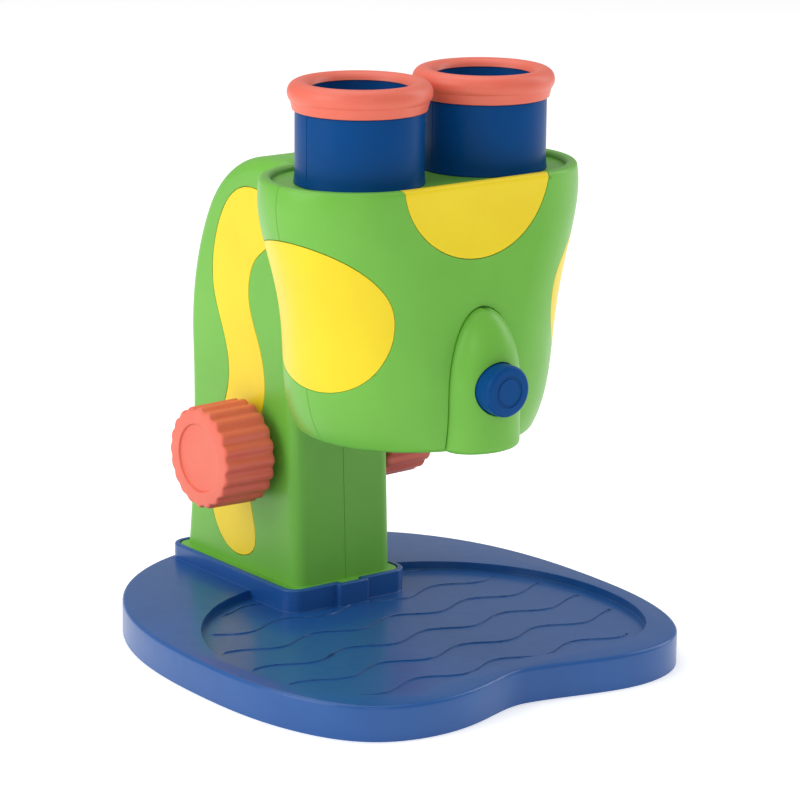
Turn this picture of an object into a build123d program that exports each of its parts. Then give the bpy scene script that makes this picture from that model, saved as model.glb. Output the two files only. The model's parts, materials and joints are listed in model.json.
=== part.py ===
from build123d import *
import math
import os
from dataclasses import dataclass

# Kids microscope: blue stage base, two-half green column with a rack-and-pinion focus,
# and a sliding green head with two eyepiece tubes and a lamp pod with a push button.
# Millimetres, +Z up, origin under the middle of the base, front towards -Y, symmetric about X = 0.

os.makedirs("parts", exist_ok=True)

# ---- base -------------------------------------------------------------------------------
BASE_HEIGHT = 12.9
BASE_WALL = 2.8
BASE_EDGE_ROUND = 1.4
RECESS_DEPTH = 3.0
STAGE_SKIN = 2.6
RIB_THICKNESS = 1.6
RIB_LIFT = 1.5
RIDGE_HEIGHT = 0.45
RIDGE_WIDTH = 1.1
RIDGE_WAVE = 35.6
RIDGE_AMPLITUDE = 3.0
RIDGE_PHASE_X = 2.0
RIDGE_PITCH_Y = 20.5
RIDGE_FIRST_Y = -72.5
RIDGE_HALF_LENGTHS = [60.0, 74.0, 75.0, 73.0, 64.0, 48.0]
# ---- collar and column foot --------------------------------------------------------------
COLLAR_HALF_WIDTH = 27.5
COLLAR_FRONT_Y = 14.0
COLLAR_BACK_Y = 96.4
COLLAR_TOP = 18.6
COLLAR_WALL = 2.0
COLLAR_CORNER = 7.0
COLLAR_BUMP_HALF_WIDTH = 7.0
COLLAR_BUMP_DEPTH = 2.2
FOOT_GAP = 0.25
FOOT_TOP = 18.3
FOOT_FLOOR = 3.0
TAB_HALF_WIDTH = 4.6
# ---- column ------------------------------------------------------------------------------
COLUMN_HALF_WIDTH = 22.3
COLUMN_WALL = 2.6
COLUMN_FRONT_Y = 17.2
COLUMN_LEAN = 0.041
COLUMN_BACK_Y = 93.8
COLUMN_NOSE_Z = 168.0
COLUMN_NOSE_RADIUS = 9.0
COLUMN_ROOF = 8.0
COLUMN_CORNER = 5.5
INLAY_DEPTH = 1.3
INLAY_GAP = 0.18
SEAM_GAP = 0.08
# ---- focus drive -------------------------------------------------------------------------
KNOB_AXIS_Y = 44.3
KNOB_AXIS_Z = 66.5
SHAFT_RADIUS = 3.0
RUNNING_CLEARANCE = 0.05
BUSH_RADIUS = 5.0
BUSH_FLANGE_RADIUS = 6.5
BUSH_FLANGE = 1.4
KNOB_RADIUS = 19.4
KNOB_DRAFT = 0.35
KNOB_LENGTH = 21.3
KNOB_STANDOFF = 4.6
KNOB_HUB_RADIUS = 5.5
KNOB_WALL = 3.4
KNOB_FACE = 4.3
KNOB_BORE_END = 15.0
PRESS_GAP = 0.02
KNOB_HUB_LENGTH = 4.0
KNOB_LOBES = 20
KNOB_LOBE_DEPTH = 1.1
KNOB_DISH_RADIUS = 12.6
KNOB_DISH_DEPTH = 0.9
GEAR_MODULE = 1.0
PINION_TEETH = 12
PINION_HALF_WIDTH = 4.5
RACK_FRONT_Y = 33.0
CARRIAGE_FRONT_Y = 26.7
CARRIAGE_THICKNESS = 4.0
RACK_TOOTH_HALF = 0.62
PINION_TOOTH_HALF = 0.58
PRESSURE_SLOPE = math.tan(math.radians(20))
FOCUS_UP = 10.0
FOCUS_DOWN = 8.0
# ---- head --------------------------------------------------------------------------------
HEAD_WALL = 2.5
HEAD_BOTTOM = 87.0
HEAD_TOP = 181.0
RIM_WIDTH = 4.2
DECK_DEPTH = 2.2
DECK_THICKNESS = 2.4
BOTTOM_ROUND = 3.0
HEAD_SEAM_Y = -26.4
NECK_HALF_WIDTH = 11.5
NECK_BOTTOM = 110.0
NECK_TOP = 158.0
NECK_BACK_Y = 26.6
NECK_BORE_HALF_WIDTH = 4.6
SLOT_CLEARANCE = 0.6
# ---- eyepieces ---------------------------------------------------------------------------
TUBE_X = 27.2
TUBE_Y = -26.4
TUBE_RADIUS = 22.7
TUBE_WALL = 2.0
TUBE_BOTTOM = 150.0
TUBE_TOP = 204.4
TUBE_FLANGE_RADIUS = 24.4
TUBE_FLANGE_Z = 172.5
TUBE_FLANGE = 2.0
CUP_LIP_RADIUS = 4.1
CUP_LIP_CENTRE_R = 21.3
CUP_LIP_Z = 210.5
CUP_SKIRT_RADIUS = 23.7
TUBE_NECK_TOP = 209.4
TUBE_NECK_RADIUS = 19.5
TUBE_NECK_BORE = 17.9
LENS_SEAT_Z = 196.0
LENS_RADIUS = 20.4
LENS_EDGE = 2.4
LENS_CROWN = 1.6
LENS_SIT = 0.38
LENS_RING = 1.8
OBJECTIVE_Y = -22.0
OBJECTIVE_RADIUS = 24.0
# ---- lamp pod and button -----------------------------------------------------------------
POD_HALF_WIDTH = 15.3
POD_DEPTH = 11.2
POD_CENTRE_Y = -62.0
LAMP_Y = -66.5
POD_SHOULDER_Z = 108.0
POD_TOP_Z = 137.2
POD_WALL = 2.2
POD_SEAT = 0.9
POD_GROOVE = 0.35
BUTTON_RADIUS = 9.2
BUTTON_FRONT_Y = -78.0
BUTTON_Z = 110.0
BUTTON_HOLE_CLEARANCE = 0.3
BOARD_FRONT_Y = -58.6
# ---- battery -----------------------------------------------------------------------------
CELL_RADIUS = 7.15
CELL_LENGTH = 50.0
CELL_X = 7.9
CELL_Y = 78.0
CELL_BOTTOM_Z = 30.0
DOOR_HALF_WIDTH = 15.5
DOOR_BOTTOM_Z = 24.0
DOOR_TOP_Z = 95.0
DOOR_SCREW_Z = DOOR_TOP_Z - 5
TRAY_HALF_WIDTH = 19.6
DOOR_SCREW_SEAT_Y = 88.9
DOOR_GAP = 0.25
SCREW_RADIUS = 1.5
SCREW_HEAD_RADIUS = 2.8
SCREW_HEAD = 2.0
BOSS_RADIUS = 3.6


def save(shape, node):
    """Write one node's solids."""
    export_step(shape, f"parts/{node}.step")


def closed_spline(half_outline):
    """Face inside a smooth closed curve, from its right half given front to back on X >= 0."""
    mirrored = [(-x, y) for x, y in reversed(half_outline[1:-1])]
    return make_face(Spline(*half_outline, *mirrored, periodic=True))


def grown(outline, distance):
    """Closed outline given anticlockwise or clockwise, pushed outwards by a distance."""
    count = len(outline)
    nexts = outline[1:] + outline[:1]
    area = sum(x0 * y1 - x1 * y0 for (x0, y0), (x1, y1) in zip(outline, nexts)) / 2
    turn = math.copysign(1, area)
    moved = []
    for i, (x, y) in enumerate(outline):
        (xa, ya), (xb, yb) = outline[i - 1], outline[(i + 1) % count]
        length = math.hypot(xb - xa, yb - ya)
        step = turn * distance / length
        moved.append((x + step * (yb - ya), y - step * (xb - xa)))
    return moved


def block(x0, x1, y0, y1, z0, z1):
    """Box between two corners."""
    box = Box(x1 - x0, y1 - y0, z1 - z0)
    return Pos((x0 + x1) / 2, (y0 + y1) / 2, (z0 + z1) / 2) * box


def post_z(x, y, z0, z1, radius):
    """Upright cylinder."""
    return Pos(x, y, (z0 + z1) / 2) * Cylinder(radius, z1 - z0)


def rod_y(x, z, y0, y1, radius):
    """Cylinder along Y."""
    return Pos(x, (y0 + y1) / 2, z) * Rot(90, 0, 0) * Cylinder(radius, y1 - y0)


def rod_x(y, z, x0, x1, radius):
    """Cylinder along X."""
    return Pos((x0 + x1) / 2, y, z) * Rot(0, 90, 0) * Cylinder(radius, x1 - x0)


# ---- base --------------------------------------------------------------------------------
BASE_HALF = [
    (0, -90.7), (22, -95.6), (45, -99.2), (67.5, -92), (83.5, -66.5),
    (89.4, -20), (83.4, 33.5), (62.4, 72.3), (33, 93), (0, 99.3),
]
RECESS_HALF = [
    (0, -80.5), (16, -82.2), (42, -87), (63, -80), (76.8, -60),
    (81.5, -32), (76.3, -3), (60, 22.5), (40, 36.5), (20, 42), (0, 43.5),
]


def collar_outline(inset):
    """Plan of the collar, set in by a distance, with its front bump."""
    half = COLLAR_HALF_WIDTH - inset
    front = COLLAR_FRONT_Y + inset
    back = COLLAR_BACK_Y - inset
    plan = Pos(0, (front + back) / 2) * RectangleRounded(2 * half, back - front, COLLAR_CORNER - inset)
    bump_half = COLLAR_BUMP_HALF_WIDTH - inset
    bump_front = front - COLLAR_BUMP_DEPTH
    bump = Pos(0, (bump_front + front + 4) / 2) * RectangleRounded(2 * bump_half, 4 + COLLAR_BUMP_DEPTH, 1.2)
    return plan + bump


def ridge(row):
    """One thin wavy bar on the stage, parallel to X."""
    y_mean = RIDGE_FIRST_Y + row * RIDGE_PITCH_Y
    reach = RIDGE_HALF_LENGTHS[row]
    steps = 2 * round(2 * reach / RIDGE_WAVE * 3)
    xs = [-reach + 2 * reach * i / steps for i in range(steps + 1)]
    crest = [(x, y_mean + RIDGE_AMPLITUDE * math.cos(math.tau * (x - RIDGE_PHASE_X) / RIDGE_WAVE)) for x in xs]
    far = [(x, y + RIDGE_WIDTH / 2) for x, y in crest[1:-1]]
    near = [(x, y - RIDGE_WIDTH / 2) for x, y in crest[1:-1]]
    start, end = crest[0], crest[-1]
    outline = Spline(start, *far, end) + Spline(start, *near, end)
    floor = BASE_HEIGHT - RECESS_DEPTH
    return Pos(0, 0, floor - 0.3) * extrude(make_face(outline), RIDGE_HEIGHT + 0.3)


BASE_SCREWS = [(x, y) for x in (-13.0, 13.0) for y in (31.0, 60.0)]


def base_plate():
    """Stage moulding: hollow underneath, with the recessed wavy stage and the column's collar."""
    floor = BASE_HEIGHT - RECESS_DEPTH
    outline = closed_spline(BASE_HALF)
    plate = extrude(outline, BASE_HEIGHT)
    top_edge = plate.edges().group_by(Axis.Z)[-1]
    plate = fillet(top_edge, BASE_EDGE_ROUND)
    recess_plan = closed_spline(RECESS_HALF)
    recess = Pos(0, 0, floor) * extrude(recess_plan, RECESS_DEPTH + 1)
    pad = Pos(0, 0, floor - 0.5) * extrude(collar_outline(0), BASE_HEIGHT - floor + 0.5)
    plate = plate - recess + pad
    stage = Pos(0, 0, floor - 1) * extrude(recess_plan, RIDGE_HEIGHT + 2)
    keep_out = Pos(0, 0, floor - 1) * extrude(collar_outline(-0.8), 3)
    for row in range(len(RIDGE_HALF_LENGTHS)):
        plate += (ridge(row) & stage) - keep_out
    collar = extrude(collar_outline(0), COLLAR_TOP - BASE_HEIGHT + 0.5)
    collar = fillet(collar.edges().group_by(Axis.Z)[-1], 0.7)
    well = Pos(0, 0, 0.5) * extrude(collar_outline(COLLAR_WALL), COLLAR_TOP)
    plate += Pos(0, 0, BASE_HEIGHT - 0.5) * (collar - well)
    hollow_top = floor - STAGE_SKIN
    half_width, half_depth = BASE_HALF[5][0], BASE_HALF[-1][1]
    inside = scale(outline, by=(1 - BASE_WALL / half_width, 1 - BASE_WALL / half_depth, 1))
    hollow = extrude(inside, hollow_top)
    for y in (-60.0, -20.0, 20.0, 50.0):
        hollow -= block(-95, 95, y - RIB_THICKNESS / 2, y + RIB_THICKNESS / 2, RIB_LIFT, BASE_HEIGHT)
    for x in (-50.0, 0.0, 50.0):
        hollow -= block(x - RIB_THICKNESS / 2, x + RIB_THICKNESS / 2, -100, 100, RIB_LIFT, BASE_HEIGHT)
    for x, y in BASE_SCREWS:
        hollow -= post_z(x, y, RIB_LIFT, BASE_HEIGHT, 5.0)
    plate -= hollow
    for x, y in BASE_SCREWS:
        plate -= post_z(x, y, 0, BASE_HEIGHT + 1, SCREW_RADIUS + 0.3)
        plate -= post_z(x, y, 0, RIB_LIFT + SCREW_HEAD + 0.6, SCREW_HEAD_RADIUS + 0.4)
    return plate


def pan_screw(length):
    """Screw along +Z, head down, its cross slot cut in the head; the head's seat is at Z = 0."""
    head = Pos(0, 0, -SCREW_HEAD / 2) * Cylinder(SCREW_HEAD_RADIUS, SCREW_HEAD)
    head = fillet(head.edges().group_by(Axis.Z)[0], 0.8)
    shank = Pos(0, 0, length / 2) * Cylinder(SCREW_RADIUS, length)
    shank = chamfer(shank.edges().group_by(Axis.Z)[-1], 0.8)
    cross = Box(3.0, 0.7, 2.2) + Box(0.7, 3.0, 2.2)
    return head + shank - Pos(0, 0, -SCREW_HEAD) * cross


# ---- column ------------------------------------------------------------------------------
def column_front(z):
    """Y of the column's front face at a height."""
    return COLUMN_FRONT_Y + COLUMN_LEAN * (z - BASE_HEIGHT)


def column_profile():
    """Side view of the column in the YZ plane: leaning front, rounded shoulder, nearly upright back."""
    front = Line((column_front(BASE_HEIGHT), BASE_HEIGHT), (column_front(COLUMN_NOSE_Z), COLUMN_NOSE_Z))
    nose = JernArc(front @ 1, front % 1, COLUMN_NOSE_RADIUS, -90)
    roof = Line(nose @ 1, nose @ 1 + nose % 1 * COLUMN_ROOF)
    shoulder = TangentArc(roof @ 1, (78.2, 152.6), tangent=roof % 1)
    shoulder_low = TangentArc(shoulder @ 1, (89.6, 100), tangent=shoulder % 1)
    back = TangentArc(shoulder_low @ 1, (COLUMN_BACK_Y, BASE_HEIGHT), tangent=shoulder_low % 1)
    bottom = Line(back @ 1, front @ 0)
    return make_face(Curve() + [front, nose, roof, shoulder, shoulder_low, back, bottom])


COLUMN_INLAY = [
    (45, 164.4), (60, 160), (70, 144), (71.6, 122), (63.5, 102), (62, 90), (68.5, 72), (74.5, 50), (72.5, 35),
    (64, 24.6), (54.5, 22.4), (45.8, 26.6), (45.6, 37), (49.5, 54), (44, 72), (38.6, 90), (42, 105.5),
    (48.8, 122), (44, 138.5), (34, 147), (33.5, 159),
]


def inlay_face(grow):
    """Face of the wavy side stripe, in the YZ plane, grown by a clearance."""
    return make_face(Spline(*grown(COLUMN_INLAY, grow), periodic=True))


def along_x(face, x0, x1):
    """Prism of a YZ outline between two X values."""
    return Plane.YZ.offset(x0) * extrude(face, x1 - x0)


def door_block(gap):
    """Space of the battery door in the column's back."""
    half = DOOR_HALF_WIDTH - gap
    return block(-half, half, 84.5, 96, DOOR_BOTTOM_Z + gap, DOOR_TOP_Z - gap)


SHELL_SCREWS = [(40.0, 30.0), (80.0, 108.0), (60.0, 150.0)]


def column_solid():
    """Whole outside of the column, both halves, with its long edges rounded."""
    prism = along_x(column_profile(), -COLUMN_HALF_WIDTH, COLUMN_HALF_WIDTH)
    long_edges = [e for e in prism.edges() if abs(abs(e.center().X) - COLUMN_HALF_WIDTH) < 0.01]
    long_edges = [e for e in long_edges if e.center().Z > BASE_HEIGHT + 1]
    return fillet(long_edges, COLUMN_CORNER)


def foot_flange():
    """Flange that sits in the collar, with the front tab at the seam."""
    inset = COLLAR_WALL + FOOT_GAP
    half = COLLAR_HALF_WIDTH - inset
    front = COLLAR_FRONT_Y + inset
    back = COLLAR_BACK_Y - inset
    plan = Pos(0, (front + back) / 2) * RectangleRounded(2 * half, back - front, COLLAR_CORNER - inset)
    tab = Pos(0, front + 0.6) * RectangleRounded(2 * TAB_HALF_WIDTH, 4, 0.8)
    flange = Pos(0, 0, BASE_HEIGHT) * extrude(plan + tab, FOOT_TOP - BASE_HEIGHT)
    return fillet(flange.edges().group_by(Axis.Z)[-1], 0.5)


def guide_rail(side):
    """Pair of ribs that hold the carriage's edge in one half of the column."""
    inner = COLUMN_HALF_WIDTH - COLUMN_WALL + 0.4
    rails = block(14.5, inner, 31.1, 33.3, 88.0, 172.0) + block(14.5, inner, 22.5, 26.3, 95.0, 166.0)
    return rails if side > 0 else mirror(rails, Plane.YZ)


def column_half(side):
    """One half of the column: +1 right, -1 left."""
    outer = column_solid() + foot_flange()
    core = along_x(offset(column_profile(), -COLUMN_WALL), -COLUMN_HALF_WIDTH + COLUMN_WALL,
                   COLUMN_HALF_WIDTH - COLUMN_WALL)
    core_edges = [e for e in core.edges() if abs(abs(e.center().X) - COLUMN_HALF_WIDTH + COLUMN_WALL) < 0.01]
    core_edges = [e for e in core_edges if e.center().Z > BASE_HEIGHT + 4]
    core = fillet(core_edges, COLUMN_CORNER - COLUMN_WALL)
    shell = outer - core
    keep_x = (SEAM_GAP / 2, 40) if side > 0 else (-40, -SEAM_GAP / 2)
    half = shell & block(*keep_x, 0, 110, BASE_HEIGHT, 200)
    half += guide_rail(side)
    for y, z in SHELL_SCREWS:
        inner_x = side * (COLUMN_HALF_WIDTH - COLUMN_WALL + 0.3)
        x0, x1 = sorted((side * SEAM_GAP / 2, inner_x))
        half += rod_x(y, z, x0, x1, BOSS_RADIUS)
    half -= block(-NECK_HALF_WIDTH - SLOT_CLEARANCE, NECK_HALF_WIDTH + SLOT_CLEARANCE, 10, 30,
                  NECK_BOTTOM - FOCUS_DOWN - 1, NECK_TOP + FOCUS_UP + 1)
    half -= rod_x(KNOB_AXIS_Y, KNOB_AXIS_Z, -40, 40, BUSH_RADIUS + RUNNING_CLEARANCE)
    half -= door_block(0)
    pocket_x = (COLUMN_HALF_WIDTH - INLAY_DEPTH, COLUMN_HALF_WIDTH + 1)
    pocket_x = pocket_x if side > 0 else (-pocket_x[1], -pocket_x[0])
    half -= along_x(inlay_face(INLAY_GAP), *pocket_x)
    for x, y in BASE_SCREWS:
        if x * side > 0:
            half += post_z(x, y, BASE_HEIGHT + FOOT_FLOOR - 1, 30, BOSS_RADIUS)
            half -= post_z(x, y, BASE_HEIGHT - 1, 28, SCREW_RADIUS)
    for y, z in SHELL_SCREWS:
        half -= rod_x(y, z, -12, 12, SCREW_RADIUS)
        if side > 0:
            half -= rod_x(y, z, 12, 30, SCREW_HEAD_RADIUS + 0.2)
    return half


def column_inlay(side):
    """Yellow wavy stripe let into one side of the column."""
    top = COLUMN_HALF_WIDTH
    x0, x1 = (top - INLAY_DEPTH + 0.02, top) if side > 0 else (-top, -top + INLAY_DEPTH - 0.02)
    stripe = along_x(inlay_face(0), x0, x1)
    return stripe - rod_x(KNOB_AXIS_Y, KNOB_AXIS_Z, -40, 40, BUSH_RADIUS + 0.3)


def column_screws():
    """Screws that hold the column's halves together, driven from the right."""
    screw = pan_screw(18.0)
    return [Pos(12.2, y, z) * Rot(0, -90, 0) * screw for y, z in SHELL_SCREWS]


def shaft_bush(side):
    """Flanged bush for the focus shaft."""
    inner_wall = COLUMN_HALF_WIDTH - COLUMN_WALL
    bush = rod_x(KNOB_AXIS_Y, KNOB_AXIS_Z, inner_wall - BUSH_FLANGE, COLUMN_HALF_WIDTH + 0.3, BUSH_RADIUS)
    bush += rod_x(KNOB_AXIS_Y, KNOB_AXIS_Z, inner_wall - BUSH_FLANGE, inner_wall - 0.02, BUSH_FLANGE_RADIUS)
    bush -= rod_x(KNOB_AXIS_Y, KNOB_AXIS_Z, 0, 40, SHAFT_RADIUS + RUNNING_CLEARANCE)
    return bush if side > 0 else mirror(bush, Plane.YZ)


# ---- focus drive -------------------------------------------------------------------------
def knob(side):
    """Scalloped knob with a shallow dish in its face."""
    def lobed(radius):
        count = 4 * KNOB_LOBES
        points = []
        for i in range(count):
            turn = 2 * math.pi * i / count
            r = radius - KNOB_LOBE_DEPTH * (1 - math.cos(KNOB_LOBES * turn)) / 2
            points.append((r * math.cos(turn), r * math.sin(turn)))
        return make_face(Spline(*points, periodic=True))

    back = lobed(KNOB_RADIUS)
    front = Pos(0, 0, KNOB_LENGTH) * lobed(KNOB_RADIUS - KNOB_DRAFT)
    body = loft([back, front], ruled=True)
    body &= revolve(Plane.XZ * knob_envelope(), Axis.Z)
    body -= Pos(0, 0, KNOB_LENGTH - KNOB_DISH_DEPTH / 2) * Cylinder(KNOB_DISH_RADIUS, KNOB_DISH_DEPTH + 0.01)
    hollow = KNOB_LENGTH - KNOB_FACE
    room = Cylinder(KNOB_RADIUS - KNOB_WALL, hollow) - Cylinder(KNOB_HUB_RADIUS, hollow)
    body -= Pos(0, 0, hollow / 2) * room
    body += Pos(0, 0, -KNOB_HUB_LENGTH / 2) * Cylinder(KNOB_HUB_RADIUS, KNOB_HUB_LENGTH)
    bore = KNOB_BORE_END + KNOB_HUB_LENGTH
    body -= Pos(0, 0, KNOB_BORE_END - bore / 2) * Cylinder(SHAFT_RADIUS + PRESS_GAP, bore)
    start = COLUMN_HALF_WIDTH + KNOB_STANDOFF
    placed = Pos(start, KNOB_AXIS_Y, KNOB_AXIS_Z) * Rot(0, 90, 0) * body
    return placed if side > 0 else mirror(placed, Plane.YZ)


def knob_envelope():
    """Half section that rounds the knob's two rims."""
    r, top, soft = KNOB_RADIUS + 0.2, KNOB_LENGTH, 1.8
    corner = RadiusArc((r, top - soft), (r - soft, top), -soft)
    sides = Polyline((r - soft, top), (0, top), (0, 0), (r - 0.5, 0), (r, 0.5), (r, top - soft))
    return make_face(Curve() + [corner, sides])


def pinion():
    """Twelve-tooth pinion on the focus shaft, a tooth facing the rack."""
    pitch = GEAR_MODULE * PINION_TEETH / 2
    root, tip = pitch - 1.25 * GEAR_MODULE, pitch + GEAR_MODULE
    gear = Circle(root)
    for i in range(PINION_TEETH):
        tooth = Polygon((root - 0.6, -1.15), (root + 0.1, -1.0), (pitch, -PINION_TOOTH_HALF), (tip, -0.3),
                        (tip, 0.3), (pitch, PINION_TOOTH_HALF), (root + 0.1, 1.0), (root - 0.6, 1.15),
                        align=None)
        gear += Rot(0, 0, 360 * i / PINION_TEETH) * tooth
    gear -= Circle(SHAFT_RADIUS + PRESS_GAP)
    body = Pos(0, 0, -PINION_HALF_WIDTH) * extrude(gear, 2 * PINION_HALF_WIDTH)
    return Pos(0, KNOB_AXIS_Y, KNOB_AXIS_Z) * Rot(0, 90, 0) * Rot(0, 0, 90) * body


def focus_shaft():
    """Steel shaft through both knobs."""
    reach = COLUMN_HALF_WIDTH + KNOB_STANDOFF + KNOB_BORE_END - 0.5
    shaft = rod_x(KNOB_AXIS_Y, KNOB_AXIS_Z, -reach, reach, SHAFT_RADIUS)
    return chamfer(shaft.edges(), 0.5)


def rack_bar():
    """Rack that hangs from the carriage, its teeth towards the pinion."""
    pitch_y = KNOB_AXIS_Y - GEAR_MODULE * PINION_TEETH / 2
    root_y = pitch_y - 1.25 * GEAR_MODULE
    tip_y = pitch_y + GEAR_MODULE * 0.95
    step = math.pi * GEAR_MODULE
    bar = block(-PINION_HALF_WIDTH, PINION_HALF_WIDTH, RACK_FRONT_Y, root_y + 0.01, 47.0, 146.0)
    bar += block(-PINION_HALF_WIDTH, PINION_HALF_WIDTH, CARRIAGE_FRONT_Y + 2, RACK_FRONT_Y + 0.5, 107.0, 146.0)
    root_half = RACK_TOOTH_HALF + PRESSURE_SLOPE * 1.25 * GEAR_MODULE
    tip_half = RACK_TOOTH_HALF - PRESSURE_SLOPE * 0.95 * GEAR_MODULE
    for i in range(-5, 6):
        z = KNOB_AXIS_Z + (i + 0.5) * step
        tooth = Polygon((root_y, z - root_half), (tip_y, z - tip_half), (tip_y, z + tip_half),
                        (root_y, z + root_half), align=None)
        bar += along_x(tooth, -PINION_HALF_WIDTH, PINION_HALF_WIDTH)
    return bar


CARRIAGE_SCREWS = [(x, z) for x in (-8.0, 8.0) for z in (115.5, 152.5)]


def carriage():
    """Slide plate inside the column, with the rack; the head is screwed to its front."""
    plate = block(-17.5, 17.5, CARRIAGE_FRONT_Y, CARRIAGE_FRONT_Y + CARRIAGE_THICKNESS, 106.0, 158.5)
    body = plate + rack_bar()
    body -= block(-3, 3, 20, 32, 148, 154)
    for x, z in CARRIAGE_SCREWS:
        body -= rod_y(x, z, 20, 40, SCREW_RADIUS + 0.2)
    return body


# ---- head --------------------------------------------------------------------------------
@dataclass
class HeadSection:
    """Round-ended plan of the head at one height."""

    z: float
    half_straight: float
    radius: float
    centre_y: float


HEAD_SECTIONS = [
    HeadSection(z=HEAD_BOTTOM, half_straight=1.2, radius=41.0, centre_y=-23.3),
    HeadSection(z=118.0, half_straight=12.9, radius=38.0, centre_y=-25.5),
    HeadSection(z=150.0, half_straight=23.0, radius=34.6, centre_y=-26.0),
    HeadSection(z=161.0, half_straight=27.2, radius=33.7, centre_y=-25.8),
    HeadSection(z=HEAD_TOP, half_straight=28.3, radius=33.5, centre_y=-25.5),
]


def head_loft(inset):
    """Solid head, its sides set in by a distance."""
    faces = []
    for s in HEAD_SECTIONS:
        plan = SlotCenterToCenter(2 * s.half_straight, 2 * (s.radius - inset))
        faces.append(Pos(0, s.centre_y, s.z) * plan)
    return loft(faces)


def head_solid():
    """Outside of the head: rounded bottom and a rounded rim around the sunk deck."""
    body = head_loft(0)
    body = fillet(body.edges().group_by(Axis.Z)[0], BOTTOM_ROUND)
    top = HEAD_SECTIONS[-1]
    dish = SlotCenterToCenter(2 * top.half_straight, 2 * (top.radius - RIM_WIDTH))
    body -= Pos(0, top.centre_y, HEAD_TOP - DECK_DEPTH) * extrude(dish, DECK_DEPTH + 1)
    rim_edges = body.edges().group_by(Axis.Z)[-1]
    return fillet(rim_edges, 1.7)


def head_core(inset, bottom, top):
    """Inner space of the head for a wall of the given thickness."""
    return head_loft(inset) & block(-90, 90, -90, 90, bottom, top)


def front_spot_cutter(grow):
    """Half-round patch that hangs from the front of the rim."""
    patch = Pos(0, 184.0) * Ellipse(31.8 + grow, 29.7 + grow)
    return Plane.XZ.offset(55.6 - grow) * extrude(patch, 25)


SIDE_SPOT = [
    (-82, 0), (-75, 20), (-52, 32), (-20, 34), (14, 32), (52, 27), (74, 2), (56, -28), (16, -38), (-22, -42),
    (-56, -37), (-76, -20),
]


def side_spot_cutter(side, grow):
    """Oval patch that wraps round one side, cut by rays from a point inside the head."""
    near, far, apex_x = 14.0, 70.0, 12.0
    outline = make_face(Spline(*grown(SIDE_SPOT, 1.5 * grow), periodic=True))
    small = scale(outline, by=(near - apex_x) / (far - apex_x))
    plane = Plane(origin=(0, HEAD_SEAM_Y + 0.9, 134), x_dir=(0, 1, 0), z_dir=(1, 0, 0))
    cone = loft([plane.offset(near) * small, plane.offset(far) * outline], ruled=True)
    return cone if side > 0 else mirror(cone, Plane.YZ)


def pod_bullet(grow):
    """Solid of the lamp pod: an upright half-round hood with a domed top."""
    r = POD_HALF_WIDTH + grow
    top = POD_TOP_Z + grow
    bottom = HEAD_BOTTOM
    dome = Pos(0, POD_SHOULDER_Z) * Ellipse(r, top - POD_SHOULDER_Z)
    dome &= Pos(r, POD_SHOULDER_Z + 25) * Rectangle(2 * r, 50)
    wall = Pos(r / 2, (bottom + POD_SHOULDER_Z) / 2) * Rectangle(r, POD_SHOULDER_Z - bottom)
    half = dome + wall
    hood = revolve(Plane.XZ * half, Axis.Z)
    squeeze = (POD_DEPTH + grow) / r
    return Pos(0, POD_CENTRE_Y, 0) * scale(hood, by=(1, squeeze, 1))


HEAD_SCREWS = [(0.0, 161.0), (-32.0, 106.0), (32.0, 106.0)]


def head_screws():
    """Screws that pull the head's halves together, driven from the rear."""
    screw = Rot(90, 0, 0) * pan_screw(14.0)
    return [Pos(x, HEAD_SEAM_Y + 6, z) * screw for x, z in HEAD_SCREWS]


def carriage_screws():
    """Screws from the carriage into the head's neck."""
    screw = Rot(90, 0, 0) * pan_screw(12.0)
    return [Pos(x, CARRIAGE_FRONT_Y + CARRIAGE_THICKNESS + 0.02, z) * screw for x, z in CARRIAGE_SCREWS]


def tube_place(side):
    """Location of an eyepiece's axis on the ground."""
    return Pos(side * TUBE_X, TUBE_Y, 0)


def head_shell():
    """Both halves of the head's shell together."""
    deck_bottom = HEAD_TOP - DECK_DEPTH - DECK_THICKNESS
    shell = head_solid() - head_core(HEAD_WALL, HEAD_BOTTOM + HEAD_WALL, deck_bottom)
    skin_core = head_core(INLAY_DEPTH, HEAD_BOTTOM, HEAD_TOP - INLAY_DEPTH)
    shell -= front_spot_cutter(INLAY_GAP) - skin_core
    for side in (-1, 1):
        shell -= side_spot_cutter(side, INLAY_GAP) - skin_core
        shell -= tube_place(side) * post_z(0, 0, 160, 190, TUBE_RADIUS + 0.1)
    shell -= pod_bullet(POD_GROOVE) - head_core(POD_SEAT, HEAD_BOTTOM - 1, HEAD_TOP)
    shell -= pod_bullet(-POD_WALL - 1) & block(-20, 20, -80, -40, 91, 140)
    shell -= post_z(0, OBJECTIVE_Y, HEAD_BOTTOM - 1, 95, OBJECTIVE_RADIUS + 0.2)
    return shell


def head_front_shell(shell):
    """Front half of the head."""
    half = shell & block(-90, 90, -90, HEAD_SEAM_Y - SEAM_GAP / 2, 80, 190)
    for x, z in HEAD_SCREWS:
        boss = rod_y(x, z, -62, HEAD_SEAM_Y - SEAM_GAP / 2, BOSS_RADIUS) & head_loft(1.5)
        half += boss - tube_bores() - pod_bullet(0)
        half -= rod_y(x, z, HEAD_SEAM_Y - 13, HEAD_SEAM_Y + 1, SCREW_RADIUS)
    return half


def tube_bores():
    """Room for the two eyepiece tubes."""
    left = tube_place(-1) * post_z(0, 0, 149, 190, TUBE_RADIUS + 0.3)
    right = tube_place(1) * post_z(0, 0, 149, 190, TUBE_RADIUS + 0.3)
    return left + right


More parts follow.
